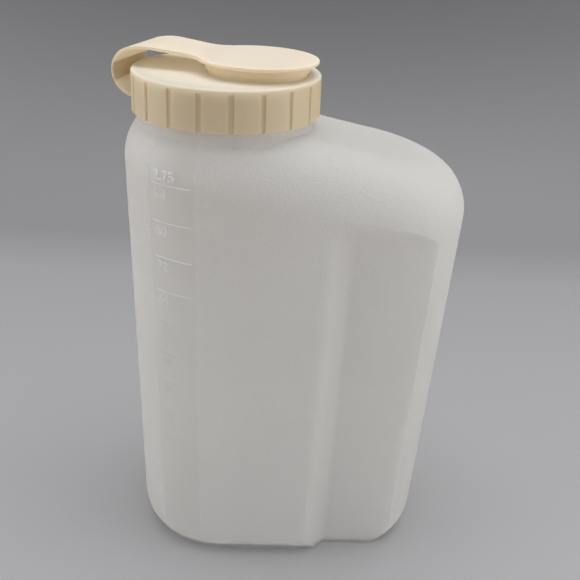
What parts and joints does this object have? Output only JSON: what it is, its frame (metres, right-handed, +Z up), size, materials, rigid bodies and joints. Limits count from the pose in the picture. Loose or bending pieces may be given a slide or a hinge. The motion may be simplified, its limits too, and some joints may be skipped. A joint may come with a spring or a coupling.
{
  "type": "drink pitcher",
  "caption": "Slim translucent drink pitcher with a sloping shoulder, pressed side grips, a wide screw cap and a strap-held push-in stopper.",
  "frame": {"origin": "on the table under the middle of the bottle's length and width", "axes": "+Z up, +X from the pouring end to the end with the grips, +Y across the bottle"},
  "size_m": [0.168, 0.096, 0.2714],
  "materials": {
    "bottle": "frosted, milky and slightly see-through, finely stippled",
    "closure": "satin, pale cream"
  },
  "bodies": {
    "bottle": {"bottle": "bottle", "cap": "closure"},
    "flip_top": {"flip_top": "closure"}
  },
  "joints": [
    {"name": "strap_fold", "type": "hinge", "parent": "bottle", "child": "flip_top", "pos_m": [-0.08062, 0.0134, 0.2598], "axis": [-0.2756, -0.9613, 0], "range_deg": [0, 150]}
  ]
}
